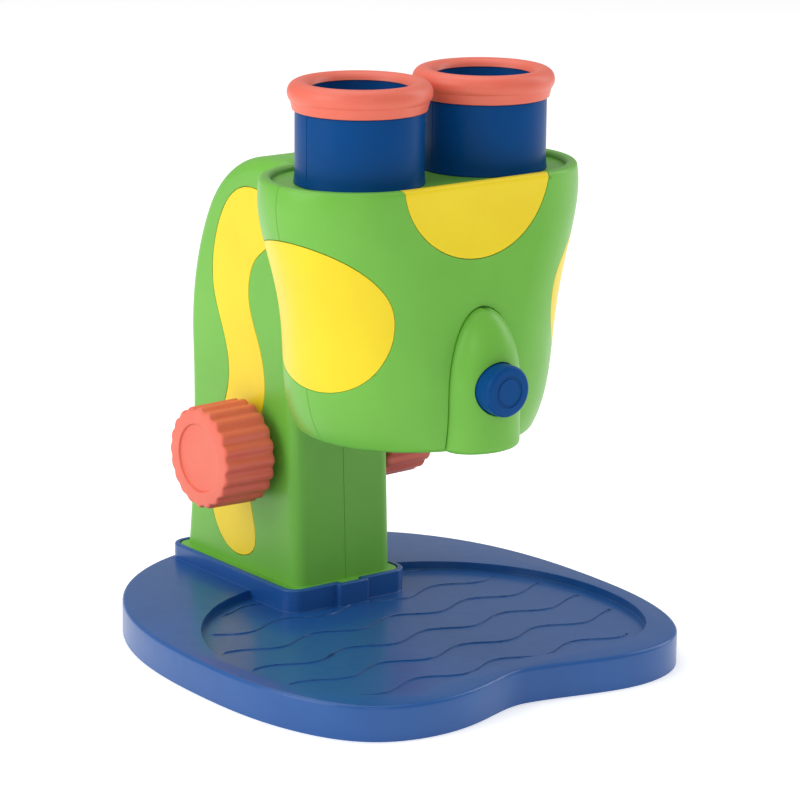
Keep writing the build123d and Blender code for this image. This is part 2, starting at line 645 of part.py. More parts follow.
def neck():
    """Box that joins the head to the carriage through the column's slot."""
    body = block(-NECK_HALF_WIDTH, NECK_HALF_WIDTH, 2, NECK_BACK_Y, NECK_BOTTOM, NECK_TOP)
    body -= head_loft(1.5)
    return body - block(-NECK_BORE_HALF_WIDTH, NECK_BORE_HALF_WIDTH, -5, 40, NECK_BOTTOM + 8, NECK_TOP - 6)


def head_rear_shell(shell):
    """Rear half of the head, with the neck."""
    half = shell & block(-90, 90, HEAD_SEAM_Y + SEAM_GAP / 2, 90, 80, 190)
    half += neck()
    half -= block(-NECK_BORE_HALF_WIDTH, NECK_BORE_HALF_WIDTH, -5, 40, NECK_BOTTOM + 8, NECK_TOP - 6)
    for x, z in HEAD_SCREWS:
        boss = rod_y(x, z, HEAD_SEAM_Y + SEAM_GAP / 2, 40, BOSS_RADIUS) & head_loft(1.5)
        half += boss - tube_bores()
        half -= rod_y(x, z, HEAD_SEAM_Y - 1, 40, SCREW_RADIUS + 0.3)
        half -= rod_y(x, z, HEAD_SEAM_Y + 6, 40, SCREW_HEAD_RADIUS + 0.4)
    for x, z in CARRIAGE_SCREWS:
        half -= rod_y(x, z, NECK_BACK_Y - 12, NECK_BACK_Y + 1, SCREW_RADIUS)
    return half


def head_skin():
    """Outer layer of the head that the patches are cut from."""
    return head_solid() - head_core(INLAY_DEPTH - 0.02, HEAD_BOTTOM - 1, HEAD_TOP - INLAY_DEPTH + 0.02)


def light_pod():
    """Hood over the lamp, open at the back, with the button's hole and the lamp's window."""
    pod = pod_bullet(0)
    edge = pod.edges().group_by(Axis.Z)[0]
    pod = fillet(edge, 2.0)
    pod -= pod_bullet(-POD_WALL) & block(-30, 30, -90, 0, HEAD_BOTTOM + 2, 150)
    pod -= head_loft(POD_SEAT - 0.02)
    pod -= rod_y(0, BUTTON_Z, -90, -60, BUTTON_RADIUS + BUTTON_HOLE_CLEARANCE)
    pod -= post_z(0, LAMP_Y, HEAD_BOTTOM - 1, HEAD_BOTTOM + 4, 3.2)
    return pod


def eyepiece_tube(side):
    """Straight tube with a flange below the deck, a lens seat and a neck that carries the eyecup."""
    bore = TUBE_RADIUS - TUBE_WALL
    flange_top = TUBE_FLANGE_Z + TUBE_FLANGE
    profile = Polyline(
        (bore, TUBE_BOTTOM), (TUBE_RADIUS, TUBE_BOTTOM), (TUBE_RADIUS, TUBE_FLANGE_Z),
        (TUBE_FLANGE_RADIUS, TUBE_FLANGE_Z), (TUBE_FLANGE_RADIUS, flange_top), (TUBE_RADIUS, flange_top),
        (TUBE_RADIUS, TUBE_TOP), (TUBE_NECK_RADIUS, TUBE_TOP), (TUBE_NECK_RADIUS, TUBE_NECK_TOP),
        (TUBE_NECK_BORE, TUBE_NECK_TOP), (TUBE_NECK_BORE, LENS_SEAT_Z), (bore, LENS_SEAT_Z),
        (bore, TUBE_BOTTOM),
    )
    return tube_place(side) * revolve(Plane.XZ * make_face(profile), Axis.Z)


def eyecup(side):
    """Soft ring with a round lip and a flared skirt, stretched over the tube's neck."""
    lip = Pos(CUP_LIP_CENTRE_R, CUP_LIP_Z) * Circle(CUP_LIP_RADIUS)
    foot = TUBE_TOP + 0.02
    inner = TUBE_NECK_RADIUS - 0.5
    skirt = Polygon((inner, foot), (CUP_SKIRT_RADIUS, foot), (CUP_LIP_CENTRE_R + 3.7, CUP_LIP_Z - 1.8),
                    (CUP_LIP_CENTRE_R, CUP_LIP_Z), (inner, CUP_LIP_Z), align=None)
    neck_room = Pos(TUBE_NECK_RADIUS / 2 + 0.01, TUBE_NECK_TOP - 10 + 0.02) * Rectangle(TUBE_NECK_RADIUS, 20)
    return tube_place(side) * revolve(Plane.XZ * ((lip + skirt) - neck_room), Axis.Z)


def lens(radius, edge, crown):
    """Lens with two bulged faces, standing on Z = 0 by its edge."""
    bulge = (radius * radius + crown * crown) / (2 * crown)
    upper = Pos(0, 0, edge + crown - bulge) * Sphere(bulge)
    lower = Pos(0, 0, -crown + bulge) * Sphere(bulge)
    barrel = Pos(0, 0, edge / 2) * Cylinder(radius, edge + 2 * crown)
    return barrel & upper & lower


def eyepiece_lens(side):
    """Eyepiece lens, held up against its seat."""
    z0 = LENS_SEAT_Z - LENS_SIT - LENS_EDGE
    return tube_place(side) * Pos(0, 0, z0) * lens(LENS_RADIUS, LENS_EDGE, LENS_CROWN)


def lens_ring(side):
    """Snap ring under the lens."""
    top = LENS_SEAT_Z - LENS_EDGE - 2 * LENS_SIT
    ring = post_z(0, 0, top - LENS_RING, top, LENS_RADIUS + 0.15)
    ring -= post_z(0, 0, top - LENS_RING, top, LENS_RADIUS - 2.2)
    return tube_place(side) * ring


def objective_holder():
    """Ring in the head's floor that carries the front lens."""
    z0 = HEAD_BOTTOM + 0.3
    holder = post_z(0, OBJECTIVE_Y, z0, z0 + 9, OBJECTIVE_RADIUS)
    floor = HEAD_BOTTOM + HEAD_WALL
    holder += post_z(0, OBJECTIVE_Y, floor + 0.05, floor + 2, OBJECTIVE_RADIUS + 3)
    holder -= post_z(0, OBJECTIVE_Y, z0 + 3, z0 + 10, OBJECTIVE_RADIUS - 2)
    return holder - post_z(0, OBJECTIVE_Y, z0 - 1, z0 + 4, OBJECTIVE_RADIUS - 4)


def objective_lens():
    """Front lens."""
    return Pos(0, OBJECTIVE_Y, HEAD_BOTTOM + 3.3 + LENS_SIT) * lens(OBJECTIVE_RADIUS - 2.1, 2.6, 1.8)


def light_button():
    """Round push button with a shallow ring on its face and a flange behind the pod's wall."""
    stem_back = -63.5
    cap = rod_y(0, BUTTON_Z, BUTTON_FRONT_Y, stem_back, BUTTON_RADIUS)
    cap = fillet(cap.edges().group_by(Axis.Y)[0], 1.6)
    ring = rod_y(0, BUTTON_Z, BUTTON_FRONT_Y - 1, BUTTON_FRONT_Y + 0.35, 5.6)
    ring -= rod_y(0, BUTTON_Z, BUTTON_FRONT_Y - 2, BUTTON_FRONT_Y + 2, 4.7)
    flange = rod_y(0, BUTTON_Z, -65.6, -64.4, BUTTON_RADIUS + 1.1)
    hollow = rod_y(0, BUTTON_Z, BUTTON_FRONT_Y + 2.2, stem_back + 1, BUTTON_RADIUS - 1.8)
    hollow -= rod_y(0, BUTTON_Z, BUTTON_FRONT_Y, stem_back + 1, 2.0)
    return cap + flange - ring - hollow


def lamp_board():
    """Small circuit board behind the button."""
    return block(-7.5, 7.5, BOARD_FRONT_Y, BOARD_FRONT_Y + 1.6, 93.0, 121.0)


def push_switch():
    """Tact switch on the board, its plunger just behind the button's stem."""
    body = block(-3, 3, -61.6, BOARD_FRONT_Y - 0.02, BUTTON_Z - 3, BUTTON_Z + 3)
    return body + rod_y(0, BUTTON_Z, -61.9, -61.5, 1.75)


def lamp():
    """White LED that points down through the pod's window."""
    y = LAMP_Y
    bulb = post_z(0, y, HEAD_BOTTOM + 0.6, HEAD_BOTTOM + 8, 2.5)
    bulb = fillet(bulb.edges().group_by(Axis.Z)[0], 1.2)
    collar = post_z(0, y, HEAD_BOTTOM + 7, HEAD_BOTTOM + 8, 2.9)
    leg_z = HEAD_BOTTOM + 8.01
    legs = [block(x - 0.25, x + 0.25, y - 0.25, BOARD_FRONT_Y - 0.02, leg_z, leg_z + 0.5) for x in (-1.3, 1.3)]
    return [bulb + collar, *legs]


# ---- battery -----------------------------------------------------------------------------
def battery_tray():
    """Open-backed tray for two upright cells."""
    front = CELL_Y - CELL_RADIUS
    top = CELL_BOTTOM_Z + CELL_LENGTH
    outer = block(-TRAY_HALF_WIDTH, TRAY_HALF_WIDTH, front - 2, CELL_Y + 4, CELL_BOTTOM_Z - 3.4, top + 4.6)
    room = block(-16.0, 16.0, front - 0.6, CELL_Y + 10, CELL_BOTTOM_Z - 2, top + 3.2)
    rest = block(-0.6, 0.6, front - 1, CELL_Y - 3, CELL_BOTTOM_Z - 3, top + 4)
    lug = block(-4, 4, CELL_Y - 3, 86.5, top + 4.5, DOOR_TOP_Z - 1)
    return outer - room + rest + lug - rod_y(0, DOOR_SCREW_Z, 70, 90, SCREW_RADIUS)


def battery_cells():
    """Two cells side by side, one each way up."""
    cell = Cylinder(CELL_RADIUS, CELL_LENGTH)
    cell = fillet(cell.edges(), 0.6) + Pos(0, 0, CELL_LENGTH / 2 + 0.5) * Cylinder(2.7, 1.0)
    middle = CELL_BOTTOM_Z + CELL_LENGTH / 2 + 0.6
    return [Pos(-CELL_X, CELL_Y, middle) * cell, Pos(CELL_X, CELL_Y, middle) * Rot(180, 0, 0) * cell]


def battery_contacts():
    """Plates at the tray's two ends, one above and one below each cell."""
    plates = []
    for x in (-CELL_X, CELL_X):
        low = CELL_BOTTOM_Z - 1.95
        high = CELL_BOTTOM_Z + CELL_LENGTH + 2.75
        plates.append(block(x - 5.5, x + 5.5, CELL_Y - 5, CELL_Y + 3, low, low + 0.4))
        plates.append(block(x - 5.5, x + 5.5, CELL_Y - 5, CELL_Y + 3, high, high + 0.4))
    return plates


def battery_door():
    """Screwed door in the column's back, flush with it."""
    shell = column_solid() - along_x(offset(column_profile(), -COLUMN_WALL), -30, 30)
    door = shell & door_block(DOOR_GAP)
    door -= rod_y(0, DOOR_SCREW_Z, 80, 100, SCREW_RADIUS + 0.2)
    return door - rod_y(0, DOOR_SCREW_Z, DOOR_SCREW_SEAT_Y, 100, SCREW_HEAD_RADIUS + 0.3)


def door_screw():
    """The door's one screw."""
    return Pos(0, DOOR_SCREW_SEAT_Y + 0.03, DOOR_SCREW_Z) * Rot(90, 0, 0) * pan_screw(8.0)


def main():
    save(base_plate(), "base_plate")
    seat = RIB_LIFT + SCREW_HEAD + 0.58
    save(Compound(children=[Pos(x, y, seat) * pan_screw(20.0) for x, y in BASE_SCREWS]), "base_screws")
    for side, name in ((-1, "left"), (1, "right")):
        save(column_half(side), f"column_{name}")
        save(column_inlay(side), f"column_stripe_{name}")
        save(shaft_bush(side), f"shaft_bush_{name}")
        save(knob(side), f"focus_knob_{name}")
        save(eyepiece_tube(side), f"eyepiece_tube_{name}")
        save(eyecup(side), f"eyecup_{name}")
        save(eyepiece_lens(side), f"eyepiece_lens_{name}")
        save(lens_ring(side), f"lens_ring_{name}")
        save(head_skin() & side_spot_cutter(side, 0), f"head_patch_{name}")
    save(Compound(children=column_screws()), "column_screws")
    save(focus_shaft(), "focus_shaft")
    save(pinion(), "focus_pinion")
    save(carriage(), "head_carriage")
    shell = head_shell()
    save(head_front_shell(shell), "head_front_shell")
    save(head_rear_shell(shell), "head_rear_shell")
    save(head_skin() & front_spot_cutter(0), "head_patch_front")
    save(light_pod(), "light_pod")
    save(light_button(), "light_button")
    save(lamp_board(), "lamp_board")
    save(push_switch(), "push_switch")
    save(Compound(children=lamp()), "lamp")
    save(objective_holder(), "objective_holder")
    save(objective_lens(), "objective_lens")
    save(battery_tray(), "battery_tray")
    save(Compound(children=battery_cells()), "battery_cells")
    save(Compound(children=battery_contacts()), "battery_contacts")
    save(battery_door(), "battery_door")
    save(door_screw(), "battery_door_screw")
    save(Compound(children=head_screws()), "head_screws")
    save(Compound(children=carriage_screws()), "carriage_screws")


main()
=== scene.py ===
"""Looks of the kids microscope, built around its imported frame. Lengths are in metres."""

import json
import logging
import math
from dataclasses import dataclass, field
from enum import Enum

import bmesh
import bpy
from mathutils import Matrix, Vector


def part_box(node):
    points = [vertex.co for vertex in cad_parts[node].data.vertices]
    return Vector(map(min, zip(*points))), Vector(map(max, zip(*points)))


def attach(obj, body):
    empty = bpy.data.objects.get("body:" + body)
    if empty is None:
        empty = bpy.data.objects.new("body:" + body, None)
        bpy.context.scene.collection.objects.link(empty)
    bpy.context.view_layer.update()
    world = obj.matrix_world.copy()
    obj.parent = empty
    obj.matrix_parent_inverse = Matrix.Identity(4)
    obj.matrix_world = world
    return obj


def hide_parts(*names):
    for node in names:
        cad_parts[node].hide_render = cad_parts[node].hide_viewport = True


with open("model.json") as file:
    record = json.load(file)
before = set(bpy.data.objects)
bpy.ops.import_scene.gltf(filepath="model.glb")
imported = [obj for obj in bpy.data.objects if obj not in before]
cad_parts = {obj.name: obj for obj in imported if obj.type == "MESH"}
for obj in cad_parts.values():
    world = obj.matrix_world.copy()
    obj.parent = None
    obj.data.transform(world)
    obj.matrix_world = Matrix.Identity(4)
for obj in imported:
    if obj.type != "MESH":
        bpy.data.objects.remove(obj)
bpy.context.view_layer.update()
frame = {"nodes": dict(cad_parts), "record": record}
MM = 0.001
LOG = logging.getLogger("microscope")
WELD = 0.001 * MM
Colour = tuple[float, float, float]
Point = tuple[float, float]
Triple = tuple[float, float, float]


# ---- shader writing ----------------------------------------------------------------------
class Value:
    """A number socket: an expression on it adds the Math nodes."""

    def __init__(self, recipe: "Recipe", socket: bpy.types.NodeSocket) -> None:
        """Wraps a socket of the recipe's tree."""
        self.recipe = recipe
        self.socket = socket

    def _math(self, operation: str, *terms: "Value | float") -> "Value":
        """Adds one Math node.

        Args:
            operation: the node's operation.
            terms: its inputs, in order.

        Returns:
            The node's result.
        """
        node = self.recipe.node("ShaderNodeMath", {"operation": operation}, dict(enumerate(terms)))
        return Value(self.recipe, node.outputs[0])

    def __add__(self, other: "Value | float") -> "Value":
        """Sum."""
        return self._math("ADD", self, other)

    def __radd__(self, other: float) -> "Value":
        """Sum with a number first."""
        return self._math("ADD", other, self)

    def __sub__(self, other: "Value | float") -> "Value":
        """Difference."""
        return self._math("SUBTRACT", self, other)

    def __rsub__(self, other: float) -> "Value":
        """Difference from a number."""
        return self._math("SUBTRACT", other, self)

    def __mul__(self, other: "Value | float") -> "Value":
        """Product."""
        return self._math("MULTIPLY", self, other)

    def __rmul__(self, other: float) -> "Value":
        """Product with a number first."""
        return self._math("MULTIPLY", other, self)

    def above(self, limit: float) -> "Value":
        """One where the value is greater than the limit, else zero."""
        return self._math("GREATER_THAN", self, limit)

    def ramp(self, low: float, high: float) -> "Value":
        """Zero below low, one above high, smooth between."""
        inputs = {"Value": self, "From Min": low, "From Max": high}
        node = self.recipe.node("ShaderNodeMapRange", {"interpolation_type": "SMOOTHSTEP"}, inputs)
        return Value(self.recipe, node.outputs["Result"])


class Recipe:
    """Node tree of one material, around one Principled shader."""

    def __init__(self, name: str) -> None:
        """Starts an empty material."""
        self.material = bpy.data.materials.new(name)
        self.material.use_nodes = True
        self.tree = self.material.node_tree
        self.shader = self.tree.nodes["Principled BSDF"]

    def node(self, kind: str, settings: dict | None = None, inputs: dict | None = None) -> bpy.types.Node:
        """Adds one node.

        Args:
            kind: the node's type.
            settings: its properties, set before the sockets.
            inputs: values, sockets or Values by socket name or number.

        Returns:
            The node.
        """
        made = self.tree.nodes.new(kind)
        for key, setting in (settings or {}).items():
            setattr(made, key, setting)
        for key, given in (inputs or {}).items():
            self.feed(made.inputs[key], given)
        return made

    def feed(self, socket: bpy.types.NodeSocket, given: object) -> None:
        """Links a socket to a Value or another socket, or sets its constant.

        Args:
            socket: the input to feed.
            given: what it gets.
        """
        if isinstance(given, Value):
            given = given.socket
        if isinstance(given, bpy.types.NodeSocket):
            self.tree.links.new(given, socket)
        else:
            socket.default_value = given

    def place(self, stretch: Triple = (1, 1, 1)) -> bpy.types.NodeSocket:
        """Object coordinates, stretched for a pattern with a direction."""
        where = self.node("ShaderNodeTexCoord").outputs["Object"]
        return self.node("ShaderNodeMapping", None, {"Vector": where, "Scale": stretch}).outputs[0]

    def noise(self, size: float, detail: float = 2.0, stretch: Triple = (1, 1, 1)) -> Value:
        """Cloudy pattern.

        Args:
            size: the size of its blotches in metres.
            detail: octaves of finer pattern.
            stretch: scale along X, Y and Z.

        Returns:
            A value around one half.
        """
        inputs = {"Vector": self.place(stretch), "Scale": 1 / size, "Detail": detail, "Roughness": 0.55}
        return Value(self, self.node("ShaderNodeTexNoise", None, inputs).outputs["Fac"])

    def pebbles(self, size: float) -> Value:
        """Rounded grains of a spark-eroded mould.

        Args:
            size: the size of a grain in metres.

        Returns:
            The distance to the nearest grain's middle.
        """
        inputs = {"Vector": self.place(), "Scale": 1 / size}
        node = self.node("ShaderNodeTexVoronoi", {"feature": "SMOOTH_F1"}, inputs)
        return Value(self, node.outputs["Distance"])

    def axis(self, letter: str) -> Value:
        """One Object coordinate, in metres."""
        parts = self.node("ShaderNodeSeparateXYZ", None, {0: self.place()})
        return Value(self, parts.outputs[letter])

    def mix(self, factor: Value, first: Colour, second: Colour) -> bpy.types.NodeSocket:
        """Colour between two, by a factor."""
        inputs = {"Factor": factor, 6: (*first, 1), 7: (*second, 1)}
        return self.node("ShaderNodeMix", {"data_type": "RGBA"}, inputs).outputs[2]

    def bump(self, height: Value, depth: float, strength: float = 1.0) -> None:
        """Relief on the shader's normal, depth in metres."""
        node = self.node("ShaderNodeBump", None, {"Height": height, "Distance": depth, "Strength": strength})
        self.feed(self.shader.inputs["Normal"], node.outputs[0])

    def surface(self, **sockets: object) -> bpy.types.Material:
        """Feeds the shader's sockets.

        Args:
            sockets: what each gets, with _ for spaces in its name.

        Returns:
            The material.
        """
        for key, given in sockets.items():
            self.feed(self.shader.inputs[key.replace("_", " ")], given)
        return self.material


# ---- finishes ----------------------------------------------------------------------------
@dataclass(frozen=True)
class MouldedPlastic:
    """Injection-moulded plastic: faint flow clouds, a fine eroded grain and uneven gloss."""

    name: str
    colour: Colour
    deep: Colour
    roughness: float = 0.36
    grain: float = 0.5 * MM
    grain_depth: float = 0.012 * MM
    sheen_coat: float = 0.04
    gloss_level: float = 0.36
    cloud: float = 26 * MM
    smear: float = 6 * MM
    smear_stretch: Triple = (1.0, 1.0, 0.35)

    def make(self) -> bpy.types.Material:
        """Builds the material.

        Returns:
            The material.
        """
        r = Recipe(self.name)
        clouds = r.noise(self.cloud, 3.0)
        smears = r.noise(self.smear, 4.0, self.smear_stretch)
        fine = r.noise(self.grain, 2.0)
        relief = r.pebbles(self.grain * 1.6) * 0.6 + fine * 0.4
        r.bump(relief, self.grain_depth)
        shine = self.roughness + (smears - 0.5) * 0.10 + (fine - 0.5) * 0.06
        return r.surface(
            Base_Color=r.mix(clouds.ramp(0.25, 0.8), self.colour, self.deep),
            Roughness=shine,
            IOR=1.49,
            Specular_IOR_Level=self.gloss_level,
            Coat_Weight=self.sheen_coat,
            Coat_Roughness=0.2,
        )


@dataclass(frozen=True)
class SoftRubber:
    """Soft moulded elastomer: a matt skin with a little bloom."""

    name: str
    colour: Colour
    bloom: Colour
    roughness: float = 0.42
    cloud: float = 12 * MM
    grain: float = 0.45 * MM
    grain_depth: float = 0.018 * MM

    def make(self) -> bpy.types.Material:
        """Builds the material.

        Returns:
            The material.
        """
        r = Recipe(self.name)
        clouds = r.noise(self.cloud, 3.0)
        skin = r.noise(self.grain, 3.0)
        r.bump(skin, self.grain_depth)
        return r.surface(
            Base_Color=r.mix(clouds.ramp(0.3, 0.85), self.colour, self.bloom),
            Roughness=self.roughness + (clouds - 0.5) * 0.16 + (skin - 0.5) * 0.08,
            IOR=1.48,
            Specular_IOR_Level=0.5,
            Coat_Weight=0.06,
            Coat_Roughness=0.3,
        )


@dataclass(frozen=True)
class TurnedSteel:
    """Plated steel with fine drawn lines."""

    name: str
    colour: Colour = (0.62, 0.62, 0.64)
    roughness: float = 0.28
    line: float = 0.35 * MM
    line_stretch: Triple = (0.06, 1.0, 1.0)
    line_depth: float = 0.006 * MM
    stain: float = 2.5 * MM
    dulling: float = 0.72

    def make(self) -> bpy.types.Material:
        """Builds the material.

        Returns:
            The material.
        """
        r = Recipe(self.name)
        lines = r.noise(self.line, 2.0, self.line_stretch)
        tarnish = r.noise(self.stain, 3.0)
        r.bump(lines, self.line_depth)
        dulled = tuple(self.dulling * c for c in self.colour)
        return r.surface(
            Base_Color=r.mix(tarnish.ramp(0.35, 0.9), self.colour, dulled),
            Metallic=1.0,
            Roughness=self.roughness + (lines - 0.5) * 0.2,
        )


@dataclass(frozen=True)
class ClearMoulding:
    """Clear moulded lens or lamp body, slightly tinted, with faint handling smears."""

    name: str
    tint: Colour
    smear: float = 0.05
    smear_size: float = 4 * MM

    def make(self) -> bpy.types.Material:
        """Builds the material.

        Returns:
            The material.
        """
        r = Recipe(self.name)
        smears = r.noise(self.smear_size, 4.0)
        return r.surface(
            Base_Color=(*self.tint, 1),
            Roughness=self.smear * smears,
            IOR=1.49,
            Transmission_Weight=1.0,
        )


@dataclass(frozen=True)
class WaxyNylon:
    """White nylon of gears and slides."""

    name: str
    colour: Colour = (0.83, 0.82, 0.77)
    cloud: float = 9 * MM
    grease: float = 3 * MM
    grain: float = 0.6 * MM
    grain_depth: float = 0.01 * MM
    shading: float = 0.9

    def make(self) -> bpy.types.Material:
        """Builds the material.

        Returns:
            The material.
        """
        r = Recipe(self.name)
        clouds = r.noise(self.cloud, 3.0)
        grease = r.noise(self.grease, 4.0)
        r.bump(r.noise(self.grain), self.grain_depth)
        shaded = tuple(self.shading * c for c in self.colour)
        return r.surface(
            Base_Color=r.mix(clouds, self.colour, shaded),
            Roughness=0.24 + 0.3 * grease,
            IOR=1.53,
        )


@dataclass(frozen=True)
class CircuitBoard:
    """Varnished board with copper tracks under the varnish."""

    name: str
    varnish: Colour = (0.02, 0.16, 0.06)
    track: Colour = (0.07, 0.30, 0.11)
    track_scale: float = 180.0
    bare_share: float = 0.62
    track_depth: float = 0.03 * MM
    ripple: float = 2 * MM

    def make(self) -> bpy.types.Material:
        """Builds the material.

        Returns:
            The material.
        """
        r = Recipe(self.name)
        inputs = {"Vector": r.place(), "Scale": self.track_scale}
        waves = r.node("ShaderNodeTexWave", {"bands_direction": "X"}, inputs)
        tracks = Value(r, waves.outputs["Fac"]).above(self.bare_share)
        r.bump(tracks, self.track_depth)
        return r.surface(
            Base_Color=r.mix(tracks, self.varnish, self.track),
            Roughness=0.22 + 0.12 * r.noise(self.ripple),
            Coat_Weight=0.5,
        )


@dataclass(frozen=True)
class CellWrap:
    """Printed film on a dry cell: dark body with a bright band at one end."""

    name: str
    band_height: float
    body: Colour = (0.03, 0.03, 0.035)
    band: Colour = (0.55, 0.28, 0.10)
    wrinkle: float = 1.2 * MM
    wrinkle_depth: float = 0.02 * MM
    scuff: float = 5 * MM

    def make(self) -> bpy.types.Material:
        """Builds the material.

        Returns:
            The material.
        """
        r = Recipe(self.name)
        at_top = r.axis("Z").above(self.band_height)
        r.bump(r.noise(self.wrinkle), self.wrinkle_depth)
        return r.surface(
            Base_Color=r.mix(at_top, self.body, self.band),
            Metallic=0.35 * at_top,
            Roughness=0.26 + 0.15 * r.noise(self.scuff),
        )


class Slot(Enum):
    """Material slots of the record."""

    BASE = "blue_base"
    TUBE = "blue_tube"
    GREEN = "green_shell"
    YELLOW = "yellow_patch"
    CORAL = "coral_plastic"
    STEEL = "steel"
    NYLON = "white_nylon"
    LENS = "clear_lens"
    BLACK = "black_plastic"
    BOARD = "circuit_board"
    CELL = "cell_jacket"
    LED = "clear_led"


FINISHES = {
    Slot.BASE: MouldedPlastic("textured_blue", (0.009, 0.090, 0.33), (0.008, 0.080, 0.30), roughness=0.44,
                              grain=0.42 * MM, grain_depth=0.035 * MM, sheen_coat=0.5, gloss_level=0.25),
    Slot.TUBE: MouldedPlastic("satin_blue", (0.0015, 0.066, 0.250), (0.0015, 0.058, 0.225), roughness=0.33,
                              sheen_coat=0.0, gloss_level=0.10),
    Slot.GREEN: MouldedPlastic("satin_green", (0.165, 0.49, 0.055), (0.150, 0.455, 0.048)),
    Slot.YELLOW: MouldedPlastic("satin_yellow", (0.89, 0.69, 0.010), (0.86, 0.64, 0.008)),
    Slot.CORAL: SoftRubber("soft_coral", (0.80, 0.140, 0.085), (0.80, 0.165, 0.105)),
    Slot.STEEL: TurnedSteel("plated_steel"),
    Slot.NYLON: WaxyNylon("white_nylon"),
    Slot.LENS: ClearMoulding("clear_lens", (0.96, 0.98, 1.0)),
    Slot.BLACK: MouldedPlastic("matt_black", (0.020, 0.020, 0.022), (0.016, 0.016, 0.018), roughness=0.5),
    Slot.BOARD: CircuitBoard("green_board"),
    Slot.CELL: CellWrap("cell_wrap", band_height=66 * MM),
    Slot.LED: ClearMoulding("clear_lamp", (0.95, 0.97, 1.0), smear=0.1),
}


# ---- pieces ------------------------------------------------------------------------------
class Workshop:
    """Makes pieces from meshes, gives them their finish and lets them ride on a body."""

    weld: float = 0.002 * MM
    flat_turn: float = 0.2
    edge_turn: float = 38.0
    edge_facets: int = 2

    def __init__(self) -> None:
        """Makes every finish once."""
        self.materials = {slot: finish.make() for slot, finish in FINISHES.items()}
        rows = frame["record"]["subparts"]
        self.slots = {row["node"]: Slot(row["material_slot"]) for row in rows}
        groups = frame["record"]["behaviour"]["bodies"]
        self.bodies = {node: body for body, nodes in groups.items() for node in nodes}

    def cad_copy(self, node: str) -> bmesh.types.BMesh:
        """Copies a CAD node's mesh and joins its loose triangles.

        Args:
            node: the CAD node.

        Returns:
            The joined copy.
        """
        bm = bmesh.new()
        bm.from_mesh(frame["nodes"][node].data)
        bmesh.ops.remove_doubles(bm, verts=bm.verts, dist=self.weld)
        return bm

    def piece(self, bm: bmesh.types.BMesh, name: str, node: str, crease: float = 32.0) -> bpy.types.Object:
        """Turns a finished bmesh into a piece that stands for a CAD node.

        Args:
            bm: the mesh, in the frame's place; it is freed.
            name: the piece's name.
            node: the CAD node that it replaces and takes its finish and body from.
            crease: the angle in degrees above which an edge stays sharp.

        Returns:
            The piece.
        """
        limit = math.radians(crease)
        for face in bm.faces:
            face.smooth = True
        for edge in bm.edges:
            edge.smooth = edge.calc_face_angle(0.0) < limit
        mesh = bpy.data.meshes.new(name)
        bm.to_mesh(mesh)
        bm.free()
        obj = bpy.data.objects.new(name, mesh)
        bpy.context.scene.collection.objects.link(obj)
        mesh.materials.append(self.materials[self.slots[node]])
        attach(obj, self.bodies[node])
        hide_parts(node)
        LOG.info("%s replaces %s with %d faces", name, node, len(mesh.polygons))
        return obj

    def smoothed(self, node: str) -> bpy.types.Object:
        """Stands a joined, smooth-shaded copy in for a CAD node."""
        return self.piece(self.cad_copy(node), f"{node}_finished", node)

    def softened(self, node: str, width: float) -> bpy.types.Object:
        """Stands a copy with rounded edges in for a CAD node.

        Args:
            node: the CAD node.
            width: how far the rounding reaches from an edge.

        Returns:
            The piece.
        """
        bm = self.cad_copy(node)
        bmesh.ops.dissolve_limit(bm, angle_limit=math.radians(self.flat_turn), verts=bm.verts, edges=bm.edges)
        obj = self.piece(bm, f"{node}_finished", node)
        soft = obj.modifiers.new("moulded_edges", "BEVEL")
        soft.limit_method = "ANGLE"
        soft.angle_limit = math.radians(self.edge_turn)
        soft.width = width
        soft.segments = self.edge_facets
        soft.use_clamp_overlap = False
        soft.harden_normals = True
        return obj


def lathe(section: list[Point], x: float, y: float, steps: int) -> bmesh.types.BMesh:
    """Spins a closed section in the radius and height plane round an upright axis.

    Args:
        section: (radius, height) points in metres.
        x: the axis's X.
        y: the axis's Y.
        steps: segments of the full turn.

    Returns:
        The turned mesh, its normals outwards.
    """
    bm = bmesh.new()
    verts = [bm.verts.new((x + r, y, z)) for r, z in section]
    edges = [bm.edges.new(pair) for pair in zip(verts, verts[1:] + verts[:1])]
    bmesh.ops.spin(bm, geom=verts + edges, cent=(x, y, 0), axis=(0, 0, 1), angle=2 * math.pi, steps=steps,
                   use_merge=True, use_duplicate=False)
    bmesh.ops.remove_doubles(bm, verts=bm.verts, dist=WELD)
    bmesh.ops.recalc_face_normals(bm, faces=bm.faces)
    return bm


def arc(centre: Point, radius: float, start: float, end: float, steps: int) -> list[Point]:
    """Points of an arc.

    Args:
        centre: its middle.
        radius: its radius.
        start: the first point's angle in degrees.
        end: the last point's angle in degrees.
        steps: how many chords it has.

    Returns:
        One point more than it has chords.
    """
    turns = [math.radians(start + (end - start) * i / steps) for i in range(steps + 1)]
    return [(centre[0] + radius * math.cos(t), centre[1] + radius * math.sin(t)) for t in turns]


def centre_of(node: str) -> Vector:
    """Middle of a CAD node's box."""
    low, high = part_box(node)
    return (low + high) / 2


# ---- sub-assemblies ----------------------------------------------------------------------
class Side(Enum):
    """The object's two sides, by the word in their nodes' names."""

    LEFT = "left"
    RIGHT = "right"

    @property
    def outward(self) -> int:
        """Direction along X that leads away from the object."""
        return 1 if self is Side.RIGHT else -1


# ---- stage base --------------------------------------------------------------------------
@dataclass
class StageBase:
    """Stage base with its rim, ridges and collar, and the screws under it."""

    edge_round: float = 0.25 * MM

    def build(self, shop: Workshop) -> None:
        """Makes the base and its screws."""
        shop.softened("base_plate", self.edge_round)
        shop.smoothed("base_screws")


